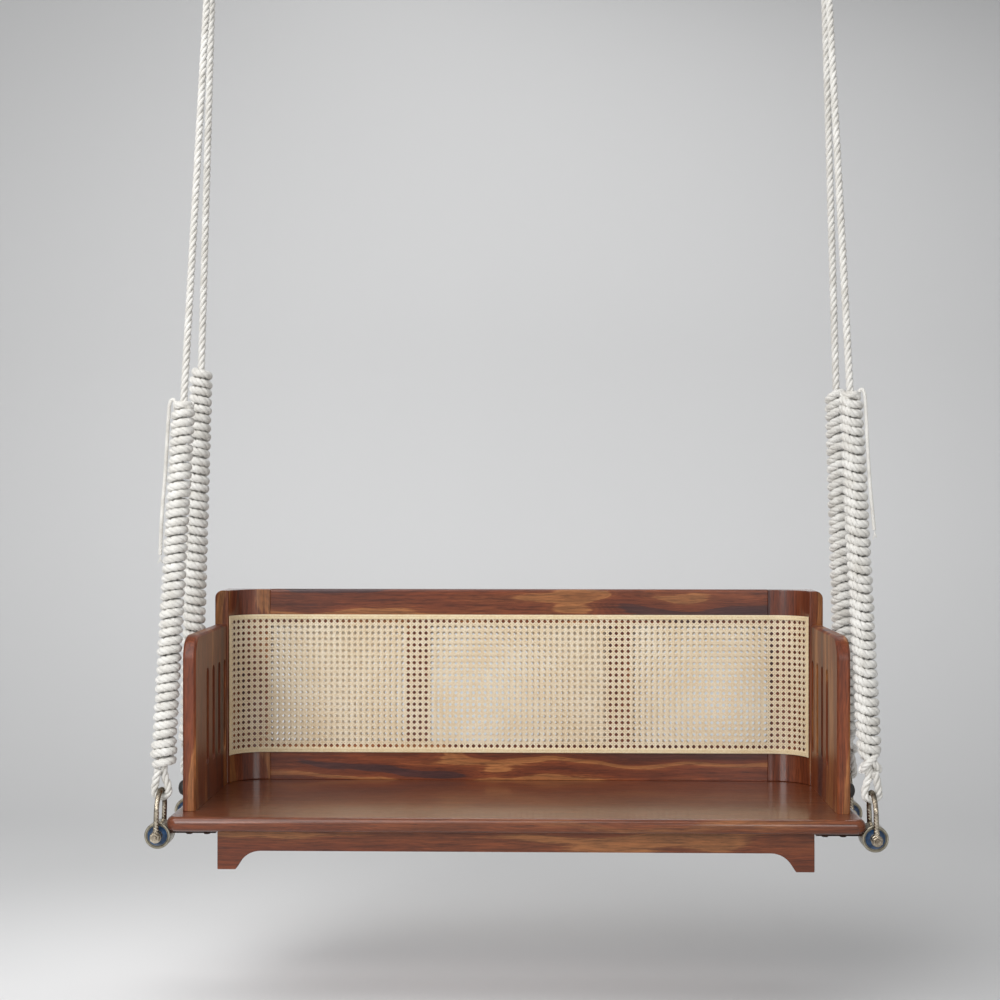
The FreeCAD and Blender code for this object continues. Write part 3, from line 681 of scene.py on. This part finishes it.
def binding(half, on_sheet):
    """A flat strip of rattan round the edge of a sheet, mitred at its corners."""
    section = [(0.0, 0.0), (0.0, 1.2), (0.8, 1.9), (4.3, 2.0), (5.0, 1.2), (5.7, 2.0), (9.2, 1.9),
               (10.0, 1.2), (10.0, 0.0)]  # (across, out)
    lift = 0.75
    low = cane_bottom - cane_middle
    high = cane_top - cane_middle
    corners = [(-half, low), (half, low), (half, high), (-half, high)]
    line = []
    for i, (start, end) in enumerate(zip(corners, corners[1:] + corners[:1])):
        steps = 220 if i % 2 == 0 else 40
        line += [(start[0] + (end[0] - start[0]) * k / steps,
                  start[1] + (end[1] - start[1]) * k / steps, i) for k in range(steps)]
    points = []
    inward = [(0, 1), (-1, 0), (0, -1), (1, 0)]
    for s, z, run in line:
        before = inward[run - 1] if (s, z) in corners else (0, 0)
        in_s = inward[run][0] + before[0]
        in_z = inward[run][1] + before[1]
        for across, out in section:
            clear_s = min(max(s + in_s * across, across - half), half - across)
            clear_z = min(max(z + in_z * across, low + across), high - across)
            points.append((clear_s, cane_middle + clear_z, lift + out))
    flat = np.array(points)
    edges = len(section)
    faces = []
    for i in range(len(line)):
        here = i * edges
        after = ((i + 1) % len(line)) * edges
        for k in range(edges):
            beside = (k + 1) % edges
            faces.append((here + k, here + beside, after + beside, after + k))
    return on_sheet(flat[:, 0], flat[:, 1], flat[:, 2]).tolist(), faces


# The rear sheet is stretched a little less, so its holes fall between those of the front one.
front_weave = woven(front_half, on_front_sheet, 12.7, 0, 0)
rear_weave = woven(rear_half, on_rear_sheet, 12.5, -3.0, -4.0)
piece("woven_cane_front", *front_weave, woven_rattan, "cane", "bench",
      ["cane_front", "cane_corners"])
piece("woven_cane_rear", *rear_weave, woven_rattan, "cane", "bench", ["cane_rear"])
piece("rattan_strip_front", *binding(front_half, on_front_sheet), rattan_binding, "cane_binding",
      "bench", ["cane_binding_front"])
piece("rattan_strip_rear", *binding(rear_half, on_rear_sheet), rattan_binding, "cane_binding",
      "bench", ["cane_binding_rear"])


# Bearings, shackles and fittings

def ring(outer, inner, low, high, ease):
    """The profile of a plain ring with eased rims."""
    return [(low, inner + ease), (low, outer - ease), (low + ease, outer), (high - ease, outer),
            (high, outer - ease), (high, inner + ease), (high - ease, inner), (low + ease, inner)]


def bearing_set(end):
    """Housings and bearings of the two corners at one depth; the bearings' seals are blue."""
    housings = []
    races = []
    seals = []
    seal = [(-21.2, 9.9), (-21.2, 11.0), (-20.7, 12.2), (-20.7, 17.2), (-21.2, 18.2), (-21.2, 19.0),
            (-19.5, 19.0), (-19.5, 9.9)]
    for sign in sides.values():
        place = Matrix.Translation((sign * bearing_x, bearing_depths[end], bearing_level))
        housings.append(moved(turned(ring(25.0, 20.1, -22.0, 22.0, 1.1), 64, True), place))
        for outer, inner in ((20.05, 19.0), (9.9, 8.56)):
            races.append(moved(turned(ring(outer, inner, -21.5, 21.5, 0.3), 64, True), place))
        for flip in (1, -1):
            facing = [(flip * along, radius) for along, radius in seal]
            seals.append(moved(turned(facing[::flip], 64, True), place))
    piece("turned_housings_" + end, *joined(housings), zinc_plate, "bright_steel", "bench",
          ["bearing_housings_" + end])
    piece("bearing_races_" + end, *joined(races), zinc_plate, "sealed_bearing", "bench",
          ["bearings_" + end])
    piece("bearing_seals_" + end, *joined(seals), blue_seal, "sealed_bearing", "bench",
          ["bearings_" + end])


def bow_line():
    """The middle line of a shackle, from one eye over the bow to the other."""
    rises = [(0, -shackle_reach, z) for z in np.linspace(7, shackle_rise, 8)]
    bow = [(0, -shackle_reach * math.cos(a), shackle_rise + shackle_reach * math.sin(a))
           for a in np.linspace(0, math.pi, 41)[1:-1]]
    return rises + bow + [(0, -y, z) for _, y, z in reversed(rises)]


def shackle_set(side):
    """The shackles of one side, with their eyes, sleeves, bolts and nuts."""
    sign = sides[side]
    bows, sleeves, bolts, nuts = [], [], [], []
    face = shackle_reach + 5.0  # of the shackle's eyes
    tip = -face - 11.0  # of the bolt
    head = [(face + 0.02, 9.3), (face + 0.7, 9.8), (face + 5.6, 9.8), (face + 6.5, 8.6)]
    thread = [(tip + 0.75 * k, 4.95 if k % 2 else 4.45) for k in range(15)]
    shank = [(tip, 4.2)] + thread + [(0, 4.95), (face, 4.95)]
    nut = [(-face - 8.0, 5.05), (-face - 8.0, 8.6), (-face - 7.1, 9.8), (-face - 0.9, 9.8),
           (-face - 0.02, 8.9), (-face - 0.02, 5.05)]
    line = bow_line()
    swell = [5.0 + 1.6 * max(0.0, 1 - (z - 7) / 14) for _, _, z in line]
    for end in bearing_depths:
        matrix = bench.inverted() @ hanging(sign, end)
        bows.append(moved(laid(line, swell, facets=20), matrix))
        for y in (-shackle_reach, shackle_reach):
            bows.append(moved(turned(ring(11.0, 5.12, y - 5, y + 5, 1.3), 40, True), matrix))
        sleeves.append(moved(turned(ring(8.5, 5.15, -30.8, 30.8, 0.5), 40, True), matrix))
        bolts.append(moved(turned(head, 6), matrix))
        bolts.append(moved(turned(shank, 24), matrix))
        nuts.append(moved(turned(nut, 6, True), matrix))
    for name, parts, finish, slot, node in (
            ("forged_shackles_", bows, worn_nickel, "aged_steel", "shackles_"),
            ("turned_sleeves_", sleeves, zinc_plate, "bright_steel", "bearing_sleeves_"),
            ("hexagon_bolts_", bolts, worn_nickel, "aged_steel", "axle_bolts_"),
            ("hexagon_nuts_", nuts, worn_nickel, "aged_steel", "axle_nuts_")):
        piece(name + side, *joined(parts), finish, slot, side + "_ropes", [node + side])


def buffers():
    """The domed rubber buffers on the arms' outer faces."""
    dome = [(0, 15.0), (1.0, 15.2), (4.0, 14.4), (7.4, 12.6), (9.9, 9.4), (11.4, 5.2), (12.0, 1.4)]
    made = []
    for sign in sides.values():
        outward = Matrix.Rotation(-sign * math.pi / 2, 4, "Z")
        place = Matrix.Translation((sign * arm_outside, 90.0, 42.0))
        made.append(moved(turned(dome), place @ outward))
    piece("rubber_buffers", *joined(made), black_rubber, "buffer", "bench", ["arm_buffers"])


for end in bearing_depths:
    bearing_set(end)
    eased("steel_brackets_" + end, "seat_brackets_" + end, 0.8, brown_lacquer,
          "bench")
    eased("steel_screws_" + end, "bracket_screws_" + end, 0.5, brown_lacquer,
          "bench")
for side in sides:
    shackle_set(side)
buffers()


# Ceiling fittings

def rounded_line(corners, radii):
    """Stations along a bar's straight runs, with a bend of the given radius at each corner."""
    line = []
    for i, corner in enumerate(corners):
        corner = Vector(corner)
        if radii[i] == 0:
            line.append(tuple(corner))
            continue
        before = (Vector(corners[i - 1]) - corner).normalized()
        after = (Vector(corners[(i + 1) % len(corners)]) - corner).normalized()
        half = before.angle(after) / 2
        middle = corner + (before + after).normalized() * (radii[i] / math.sin(half))
        start = corner + before * (radii[i] / math.tan(half)) - middle
        finish = corner + after * (radii[i] / math.tan(half)) - middle
        normal = start.cross(finish).normalized()
        sweep = math.pi - 2 * half
        for k in range(13):
            line.append(tuple(middle + Matrix.Rotation(sweep * k / 12, 3, normal) @ start))
    return line


def ceiling_fittings():
    """The links that the upper eyes hang from, the staples that these hang in, and the plates."""
    hook_x = bearing_x - 58.0
    link = rounded_line([(0, -32, 1830), (0, 0, 1930), (0, 32, 1830)], [12, 14, 12])
    staple = rounded_line([(-28, 0, 1914), (-28, 0, 1886.7), (28, 0, 1886.7), (28, 0, 1914)],
                          [0, 14, 14, 0])
    links, staples = [], []
    for sign in sides.values():
        place = Matrix.Translation((sign * hook_x, balance_depth, 0))
        links.append(moved(laid(link, 5.0, facets=20, closed=True), place))
        staples.append(moved(laid(staple, 6.0, facets=20), place))
    piece("bent_links", *joined(links), worn_nickel, "aged_steel", "hangers", ["hanger_links"])
    piece("bent_staples", *joined(staples), worn_nickel, "aged_steel", "ceiling",
          ["ceiling_staples"])
    eased("steel_ceiling_plates", "ceiling_plates", 1.0, black_oxide, "ceiling")


ceiling_fittings()


# Floor, backdrop, light and camera, in metres

def sweep_backdrop():
    """A pale paper sweep: floor below the bench, curving up to the wall behind it."""
    floor = -2.306
    front = -5.5
    wall = 3.4
    top = 5.0
    bend = 1.6
    half_width = 9
    profile = [(front, floor), (wall - bend, floor)]
    profile += [(wall - bend + bend * math.sin(a), floor + bend - bend * math.cos(a))
                for a in np.linspace(0, math.pi / 2, 25)[1:]]
    profile.append((wall, top))
    points = [(x, y, z) for y, z in profile for x in (-half_width, half_width)]
    faces = [(2 * i, 2 * i + 1, 2 * i + 3, 2 * i + 2) for i in range(len(profile) - 1)]
    mesh = bpy.data.meshes.new("sweep")
    mesh.from_pydata(points, [], faces)
    smooth(mesh)
    made = put("sweep", mesh)
    # Matt paper, light grey without gloss or grain, with light painted into its colour: a painted
    # pool of light on the wall behind the bench, painted shade towards the upper corners and down
    # onto the floor, and a second painted pool of light on the floor towards the front on the left.
    finish, tree, place = new_finish("matt grey paper")
    # Painted light: paler round a spot on the wall behind the bench, painted darker out to the sides,
    # the upper corners and the floor.
    apart = add(tree, "VectorMath", {0: place, 1: (-0.1, 0.0, 1.0)}, operation="ADD")
    apart = add(tree, "VectorMath", {0: apart, 1: (0.24, 0.0, 0.5)}, operation="MULTIPLY")
    apart = add(tree, "VectorMath", {0: apart}, operation="LENGTH").outputs["Value"]
    wall_painted_light = add(tree, "MapRange", {0: apart, 1: 0.2, 2: 1.5, 3: 0.735, 4: 0.45},
                    interpolation_type="SMOOTHSTEP")
    # Painted light on the floor, brightest in front on the left, which also lifts the left part of
    # the bench's cast shadow.
    apart = add(tree, "VectorMath", {0: place, 1: (0.5, 0.1, 2.3)}, operation="ADD")
    apart = add(tree, "VectorMath", {0: apart}, operation="LENGTH").outputs["Value"]
    floor_painted_light = add(tree, "MapRange", {0: apart, 1: 0.1, 2: 1.5, 3: 0.19, 4: 0.0},
                     interpolation_type="SMOOTHSTEP")
    tone = add(tree, "Math", {0: wall_painted_light, 1: floor_painted_light}, operation="ADD")
    shade = add(tree, "CombineColor", {0: tone, 1: tone, 2: tone})
    skin = add(tree, "BsdfDiffuse", {"Color": shade})
    # A camera behind the wall or under the floor looks through the paper at the bench.
    camera_ray = add(tree, "LightPath", {}).outputs["Is Camera Ray"]
    back_side = add(tree, "NewGeometry", {}).outputs["Backfacing"]
    from_behind = add(tree, "Math", {0: camera_ray, 1: back_side}, operation="MULTIPLY")
    clear = add(tree, "BsdfTransparent", {})
    sheet = add(tree, "MixShader", {0: from_behind, 1: skin, 2: clear})
    add(tree, "OutputMaterial", {0: sheet})
    mesh.materials.append(finish)


def softbox(name, place, target, width, height, watts):
    lamp = bpy.data.lights.new(name, "AREA")
    lamp.shape = "RECTANGLE"
    lamp.size = width
    lamp.size_y = height
    lamp.energy = watts
    made = put(name, lamp)
    made.location = place
    made.rotation_euler = (Vector(target) - Vector(place)).to_track_quat("-Z", "Y").to_euler()


sweep_backdrop()
softbox("overhead_key", (-1.9, -2.4, 2.4), (0, 0.1, -1.8), 5.0, 4.0, 175)
softbox("left_window", (-1.8, -3.6, -0.5), (0, 0, -1.7), 1.5, 2.2, 72)
softbox("front_right", (1.5, -4.2, -0.7), (0, 0, -1.7), 1.6, 1.8, 37)
softbox("back_rim", (0.5, 2.4, 1.6), (0, 0.0, -1.7), 3.0, 1.2, 34)

# The room lights the bench weakly; past the edge of the paper the camera sees it paler, and so do
# the metal and the lacquer.
world = bpy.data.worlds.new("studio")
world.use_nodes = True
room = world.node_tree
room.nodes.clear()
ray = add(room, "LightPath", {}).outputs
mirrored = add(room, "Math", {0: ray["Is Glossy Ray"], 1: ray["Is Transmission Ray"]},
               operation="ADD")
seen = add(room, "Math", {0: ray["Is Camera Ray"], 1: mirrored}, operation="ADD")
level = add(room, "MapRange", {0: seen, 3: 0.30, 4: 0.62})
air = add(room, "Background", {0: linear("#e9ebee"), 1: level})
add(room, "OutputWorld", {0: air})
bpy.context.scene.world = world
bpy.context.scene.view_settings.view_transform = "Standard"

lens = bpy.data.cameras.new("camera")
lens.lens = 63.515
lens.sensor_width = 36.0
lens.clip_end = 60
camera = put("camera", lens)
camera.location = (0.059, -3.59797, -1.3208)
camera.rotation_euler = (math.pi / 2, 0, math.radians(1.484))
bpy.context.scene.camera = camera
